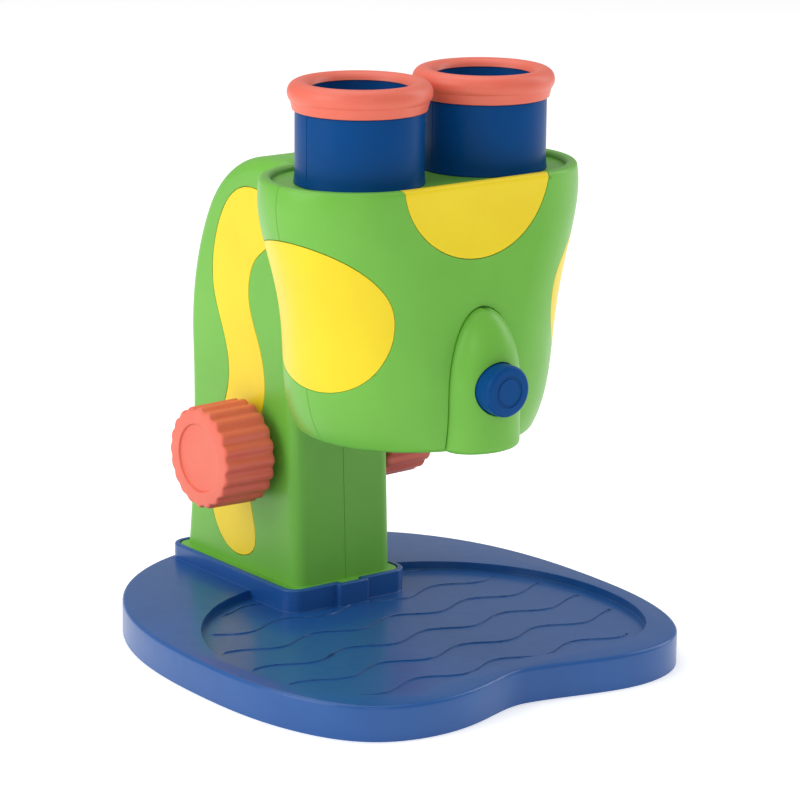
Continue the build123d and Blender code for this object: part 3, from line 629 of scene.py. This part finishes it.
# ---- column ------------------------------------------------------------------------------
@dataclass
class Column:
    """Two shell halves with a wave stripe let into each, their screws and the shaft's bushes."""

    edge_round: float = 0.25 * MM
    stripe_round: float = 0.25 * MM

    def build(self, shop: Workshop) -> None:
        """Makes both halves and what they hold.

        Args:
            shop: what makes and finishes the pieces.
        """
        for side in Side:
            shop.softened(f"column_{side.value}", self.edge_round)
            shop.softened(f"column_stripe_{side.value}", self.stripe_round)
            shop.smoothed(f"shaft_bush_{side.value}")
        shop.smoothed("column_screws")


# ---- battery compartment -----------------------------------------------------------------
@dataclass
class BatteryCompartment:
    """Tray with two cells and their contacts, behind a screwed door."""

    door_round: float = 0.25 * MM
    inside: tuple[str, ...] = ("battery_tray", "battery_cells", "battery_contacts", "battery_door_screw")

    def build(self, shop: Workshop) -> None:
        """Makes the door, its screw and what is behind it.

        Args:
            shop: what makes and finishes the pieces.
        """
        shop.softened("battery_door", self.door_round)
        for node in self.inside:
            shop.smoothed(node)


# ---- head --------------------------------------------------------------------------------
@dataclass
class Head:
    """Two shells with three inlaid patches, the slide behind them and the objective below."""

    edge_round: float = 0.25 * MM
    patch_round: float = 0.25 * MM
    shells: tuple[str, ...] = ("head_front_shell", "head_rear_shell")
    patches: tuple[str, ...] = ("head_patch_front", "head_patch_left", "head_patch_right")
    inside: tuple[str, ...] = ("head_carriage", "carriage_screws", "head_screws", "objective_holder",
                               "objective_lens")

    def build(self, shop: Workshop) -> None:
        """Makes the shells, the patches and the inner pieces.

        Args:
            shop: what makes and finishes the pieces.
        """
        for node in self.shells:
            shop.softened(node, self.edge_round)
        for node in self.patches:
            shop.softened(node, self.patch_round)
        for node in self.inside:
            shop.smoothed(node)


# ---- lamp pod ----------------------------------------------------------------------------
@dataclass
class LampPod:
    """Housing on the head's front with the push button, and the lamp and switch inside."""

    edge_round: float = 0.25 * MM
    button_round: float = 0.25 * MM
    inside: tuple[str, ...] = ("lamp", "lamp_board", "push_switch")

    def build(self, shop: Workshop) -> None:
        """Makes the housing, the button and the electronics.

        Args:
            shop: what makes and finishes the pieces.
        """
        shop.softened("light_pod", self.edge_round)
        shop.softened("light_button", self.button_round)
        for node in self.inside:
            shop.smoothed(node)


# ---- eyepieces ---------------------------------------------------------------------------
@dataclass
class Eyepiece:
    """One eyepiece: the tube with its neck and parting lines, the soft cup over the neck, and the lens."""

    side: Side
    radius: float = 22.7 * MM
    bore: float = 20.7 * MM
    neck_radius: float = 19.5 * MM
    neck_bore: float = 17.9 * MM
    flange_radius: float = 24.4 * MM
    flange_drop: float = 31.9 * MM
    flange: float = 2.0 * MM
    deck_rise: float = 4.3 * MM
    seat_drop: float = 8.4 * MM
    neck_rise: float = 7.4 * MM
    edge_round: float = 0.5 * MM
    fit: float = 0.02 * MM
    root_flare: float = 0.35 * MM
    root_heights: Triple = (0.3 * MM, 2.0 * MM, 4.5 * MM)
    lip_radius: float = 4.1 * MM
    lip_centre: float = 21.3 * MM
    lip_drop: float = 4.1 * MM
    lip_start: float = -34
    lip_end: float = 160.9
    skirt_radius: float = 23.7 * MM
    skirt_flare: tuple[Point, ...] = ((0.35 * MM, 2.2 * MM), (0.62 * MM, 3.2 * MM), (0.66 * MM, 3.5 * MM))
    rib_width: float = 0.22 * MM
    rib_relief: float = 0.14 * MM
    rib_margin: float = 1.0 * MM
    rib_top_margin: float = 0.6 * MM
    inner_rib_turn: float = 61.0
    facets: int = 160
    tube_crease: float = 40
    cup_crease: float = 60
    x: float = field(init=False)
    y: float = field(init=False)
    bottom: float = field(init=False)
    shoulder: float = field(init=False)
    top: float = field(init=False)

    def __post_init__(self) -> None:
        """Takes the axis and the heights from the frame."""
        cup_low, cup_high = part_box(f"eyecup_{self.side.value}")
        self.x, self.y = centre_of(f"eyecup_{self.side.value}").xy
        self.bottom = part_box(f"eyepiece_tube_{self.side.value}")[0].z
        self.shoulder, self.top = cup_low.z, cup_high.z

    def build(self, shop: Workshop) -> None:
        """Makes the tube, the cup, the lens and its snap ring.

        Args:
            shop: what makes and finishes the pieces.
        """
        tube, cup = f"eyepiece_tube_{self.side.value}", f"eyecup_{self.side.value}"
        shop.piece(self.tube(), f"{tube}_moulded", tube, self.tube_crease)
        shop.piece(self.cup(), f"{cup}_moulded", cup, self.cup_crease)
        shop.smoothed(f"eyepiece_lens_{self.side.value}")
        shop.smoothed(f"lens_ring_{self.side.value}")

    def tube(self) -> bmesh.types.BMesh:
        """Turns the tube from its wall section and adds a rib along each parting line and one inside.

        Returns:
            The tube's mesh.
        """
        flange = self.shoulder - self.flange_drop
        flange_top = flange + self.flange
        deck = flange_top + self.deck_rise
        seat = self.shoulder - self.seat_drop
        neck = self.shoulder + self.neck_rise
        shoulder = self.shoulder - self.fit
        soft = self.edge_round
        foot, swell, blend = (deck + rise for rise in self.root_heights)
        section = [
            (self.bore, self.bottom), (self.radius, self.bottom), (self.radius, flange),
            (self.flange_radius, flange), (self.flange_radius, flange_top), (self.radius, flange_top),
            (self.radius, deck), (self.radius + self.root_flare, foot),
            (self.radius + 0.3 * self.root_flare, swell), (self.radius, blend),
            *arc((self.radius - soft, shoulder - soft), soft, 0, 90, 4),
            (self.neck_radius, shoulder), (self.neck_radius, neck - soft),
            *arc((self.neck_bore + soft, neck - soft), soft, 90, 180, 4),
            (self.neck_bore, seat), (self.bore, seat),
        ]
        bm = lathe(section, self.x, self.y, self.facets)
        margin, width = self.rib_margin, self.rib_width
        for turn in (0.0, 180.0):
            self.add_rib(bm, self.radius, turn, deck + margin, self.shoulder - self.rib_top_margin, width, 1)
        self.add_rib(bm, self.neck_bore, self.inner_rib_turn, seat + margin, neck - margin, 3 * width, -1)
        return bm

    def add_rib(self, bm: bmesh.types.BMesh, radius: float, turn: float, low: float, high: float,
                width: float, facing: int) -> None:
        """Adds an upright rib on a wall.

        Args:
            bm: the mesh it joins.
            radius: the wall's radius.
            turn: where round the axis, in degrees.
            low: its lowest height.
            high: its highest height.
            width: its width.
            facing: 1 on an outer wall, -1 on an inner one.
        """
        reach = 4 * self.rib_relief
        offset = radius + facing * (self.rib_relief - reach / 2)
        axis = Matrix.Translation((self.x, self.y, (low + high) / 2))
        turned = axis @ Matrix.Rotation(math.radians(turn), 4, "Z")
        place = turned @ Matrix.Translation((offset, 0, 0)) @ Matrix.Diagonal((reach, width, high - low, 1))
        made = bmesh.ops.create_cube(bm, size=1.0, matrix=place)
        edges = list({e for v in made["verts"] for e in v.link_edges})
        bmesh.ops.bevel(bm, geom=edges, offset=width / 4, affect="EDGES", segments=2, profile=0.5,
                        material=-1)

    def cup(self) -> bmesh.types.BMesh:
        """Turns the soft cup: round lip, faint crease and flared skirt.

        Returns:
            The cup's mesh.
        """
        foot, hem = self.shoulder, self.edge_round
        room = self.neck_radius + self.fit
        lip = (self.lip_centre, self.top - self.lip_drop)
        section = [
            (room, foot), *arc((self.skirt_radius - hem, foot + hem), hem, -90, 0, 4),
            *((self.skirt_radius + out, foot + rise) for out, rise in self.skirt_flare),
            *arc(lip, self.lip_radius, self.lip_start, self.lip_end, 40),
            (room, foot + self.neck_rise + self.fit),
        ]
        return lathe(section, self.x, self.y, self.facets)


# ---- focus drive -------------------------------------------------------------------------
@dataclass
class FocusKnob:
    """Scalloped knob with a dished face, hollow behind, turned about X."""

    side: Side
    radius: float = 19.4 * MM
    length: float = 21.3 * MM
    draft: float = 0.35 * MM
    draft_steps: int = 8
    lobes: int = 20
    lobe_depth: float = 1.15 * MM
    lobe_sharpness: float = 1.5
    facets_per_lobe: int = 10
    back_round: float = 0.4 * MM
    rim_round: float = 1.5 * MM
    rim_steps: int = 6
    rim_fade: float = 9
    dish_radius: float = 12.6 * MM
    dish_depth: float = 0.9 * MM
    dish_steps: int = 4
    pole_radius: float = 1.0 * MM
    wall: float = 3.4 * MM
    face: float = 4.3 * MM
    hub_radius: float = 5.5 * MM
    hub_length: float = 4.0 * MM
    bore_radius: float = 3.02 * MM
    bore_end: float = 15.0 * MM
    crease: float = 48

    def build(self, shop: Workshop) -> None:
        """Makes the knob from rings that are extruded one from the other.

        Args:
            shop: what makes and finishes the pieces.
        """
        node = f"focus_knob_{self.side.value}"
        bm = bmesh.new()
        bmesh.ops.create_circle(bm, segments=self.lobes * self.facets_per_lobe, radius=self.hub_radius)
        first, *others = self.levels()
        self.shape_ring(list(bm.verts), *first)
        edges = list(bm.edges)
        for ring in others:
            made = bmesh.ops.extrude_edge_only(bm, edges=edges)["geom"]
            edges = [e for e in made if isinstance(e, bmesh.types.BMEdge)]
            self.shape_ring([v for v in made if isinstance(v, bmesh.types.BMVert)], *ring)
        bmesh.ops.contextual_create(bm, geom=edges)
        bmesh.ops.transform(bm, matrix=self.place(node), verts=bm.verts)
        bmesh.ops.remove_doubles(bm, verts=bm.verts, dist=WELD)
        bmesh.ops.recalc_face_normals(bm, faces=bm.faces)
        shop.piece(bm, f"{node}_moulded", node, self.crease)

    def place(self, node: str) -> Matrix:
        """Where the knob goes: its axis along X, its hub's end at the node's inner end.

        Args:
            node: the knob's CAD node.

        Returns:
            The turn and shift from the knob's own axis to the frame.
        """
        low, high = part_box(node)
        start = low.x + self.hub_length if self.side is Side.RIGHT else high.x - self.hub_length
        middle = centre_of(node)
        turned = Matrix.Rotation(math.radians(90 * self.side.outward), 4, "Y")
        return Matrix.Translation((start, middle.y, middle.z)) @ turned

    def levels(self) -> list[Triple]:
        """Rings of the knob, from its blind bore round its outside to its face.

        Returns:
            Each ring's radius, height along the axis and share of the scallops.
        """
        soft, fall, end = self.rim_round, self.dish_depth, self.length
        rim, inner, floor = self.radius - self.draft, self.radius - self.wall, self.length - self.face
        rings = [(self.bore_radius / 4, self.bore_end, 0.0), (self.bore_radius, self.bore_end, 0.0)]
        rings += [(self.bore_radius, -self.hub_length, 0.0), (self.hub_radius, -self.hub_length, 0.0)]
        rings += [(self.hub_radius, floor, 0.0), (inner, floor, 0.0), (inner, 0.0, 0.0)]
        rings += [(self.radius - self.back_round, 0.0, 1.0), (self.radius, self.back_round, 1.0)]
        steps = self.draft_steps
        for i in range(1, steps):
            rings.append((self.radius - self.draft * i / steps, (end - soft) * i / steps, 1.0))
        corner = arc((rim - soft, end - soft), soft, 0, 90, self.rim_steps)
        rings += [(r, z, max(0.0, 1 - i / self.rim_fade)) for i, (r, z) in enumerate(corner)]
        rings += [(self.dish_radius + fall, end, 0.0)]
        bend = fall / 2
        outer = arc((self.dish_radius + fall * 0.6, end - bend), bend, 90, 180, self.dish_steps)
        lower = arc((self.dish_radius - fall * 0.4, end - bend), bend, 0, -90, self.dish_steps)
        rings += [(r, z, 0.0) for r, z in outer + lower]
        rings += [(self.dish_radius / 2, end - fall, 0.0), (self.pole_radius, end - fall, 0.0)]
        return rings

    def shape_ring(self, verts: list[bmesh.types.BMVert], radius: float, height: float,
                   scallop: float) -> None:
        """Moves a ring's points onto its scalloped outline.

        Args:
            verts: the ring's points.
            radius: its radius on the lobes' crests.
            height: its place along the knob's axis.
            scallop: the share of the lobes' full depth.
        """
        for vert in verts:
            turn = math.atan2(vert.co.y, vert.co.x)
            valley = ((1 - math.cos(self.lobes * turn)) / 2) ** self.lobe_sharpness
            r = radius - self.lobe_depth * scallop * valley
            vert.co = (r * math.cos(turn), r * math.sin(turn), height)


@dataclass
class FocusDrive:
    """Shaft with its pinion and a knob at each end."""

    inside: tuple[str, ...] = ("focus_shaft", "focus_pinion")

    def build(self, shop: Workshop) -> None:
        """Makes both knobs, the shaft and the pinion.

        Args:
            shop: what makes and finishes the pieces.
        """
        for side in Side:
            FocusKnob(side).build(shop)
        for node in self.inside:
            shop.smoothed(node)


# ---- surroundings ------------------------------------------------------------------------
@dataclass(frozen=True)
class SoftBox:
    """A rectangular lamp that faces the object."""

    name: str
    place: Triple
    width: float
    height: float
    power: float

    def build(self, target: Vector) -> None:
        """Makes the lamp.

        Args:
            target: the point that it faces.
        """
        data = bpy.data.lights.new(self.name, "AREA")
        data.shape = "RECTANGLE"
        data.size, data.size_y, data.energy = self.width, self.height, self.power
        obj = bpy.data.objects.new(self.name, data)
        obj.location = self.place
        obj.rotation_euler = (target - Vector(self.place)).to_track_quat("-Z", "Y").to_euler()
        bpy.context.scene.collection.objects.link(obj)


@dataclass
class Studio:
    """Pale floor, soft lamps and the camera."""

    camera_place: Triple = (-0.74204, -0.99586, 0.40957)
    azimuth: float = 37.11
    pitch: float = 14.39
    roll: float = 0.55
    focal: float = 158.2
    sensor: float = 36.0
    far_clip: float = 50.0
    floor_size: float = 14.0
    floor_colour: Colour = (0.93, 0.93, 0.93)
    floor_glow: float = 0.36
    air_glow: float = 0.42
    lamp_target: Triple = (0, 0, 0.10)
    soft_boxes: tuple[SoftBox, ...] = (
        SoftBox("left_box", (-1.7, 0.35, 1.0), 1.3, 1.6, 16.5),
        SoftBox("right_box", (1.5, -0.3, 0.9), 0.6, 1.5, 8.0),
        SoftBox("top_box", (-0.1, 0.5, 1.9), 1.8, 1.8, 15.0),
        SoftBox("front_box", (-1.3, -1.9, 1.3), 1.2, 1.0, 7.0),
    )

    def build(self) -> None:
        """Makes everything that isn't the object."""
        self.camera()
        self.floor()
        for box in self.soft_boxes:
            box.build(Vector(self.lamp_target))
        self.air()

    def camera(self) -> None:
        """Long lens, a little above the object, from its front left."""
        data = bpy.data.cameras.new("camera")
        data.sensor_width = self.sensor
        data.lens = self.focal
        data.clip_end = self.far_clip
        turn, tilt, lean = (math.radians(v) for v in (self.azimuth, self.pitch, self.roll))
        right = Vector((math.cos(turn), -math.sin(turn), 0))
        ahead = Vector((math.sin(turn) * math.cos(tilt), math.cos(turn) * math.cos(tilt), -math.sin(tilt)))
        above = right.cross(ahead)
        level = right * math.cos(lean) + above * math.sin(lean)
        upright = above * math.cos(lean) - right * math.sin(lean)
        place = Matrix((level, upright, -ahead)).transposed().to_4x4()
        place.translation = self.camera_place
        obj = bpy.data.objects.new("camera", data)
        obj.matrix_world = place
        bpy.context.scene.collection.objects.link(obj)
        bpy.context.scene.camera = obj

    def floor(self) -> None:
        """Large pale sheet under the object."""
        bm = bmesh.new()
        bmesh.ops.create_grid(bm, x_segments=2, y_segments=2, size=self.floor_size / 2)
        mesh = bpy.data.meshes.new("floor")
        bm.to_mesh(mesh)
        bm.free()
        obj = bpy.data.objects.new("floor", mesh)
        bpy.context.scene.collection.objects.link(obj)
        r = Recipe("pale_floor")
        mottle = r.noise(0.3, 2.0)
        shaded = tuple(0.985 * c for c in self.floor_colour)
        mesh.materials.append(r.surface(
            Base_Color=r.mix(mottle, self.floor_colour, shaded),
            Roughness=0.75,
            Emission_Color=(1, 1, 1, 1),
            Emission_Strength=self.floor_glow,
        ))

    def air(self) -> None:
        """White surroundings."""
        world = bpy.data.worlds.new("white_room")
        world.use_nodes = True
        background = world.node_tree.nodes["Background"]
        background.inputs["Color"].default_value = (1, 1, 1, 1)
        background.inputs["Strength"].default_value = self.air_glow
        bpy.context.scene.world = world
        bpy.context.scene.view_settings.view_transform = "Standard"


def main() -> None:
    """Builds the surroundings and every sub-assembly, and logs the nodes left as they are."""
    logging.basicConfig(level=logging.INFO, format="%(name)s: %(message)s")
    Studio().build()
    shop = Workshop()
    eyepieces = [Eyepiece(side) for side in Side]
    for part in (StageBase(), Column(), BatteryCompartment(), Head(), LampPod(), *eyepieces, FocusDrive()):
        LOG.info("building %s", type(part).__name__)
        part.build(shop)
    bare = [node for node, obj in frame["nodes"].items() if not obj.hide_render]
    LOG.info("nodes left as they are: %s", bare or "none")


if __name__ == "__main__":
    main()
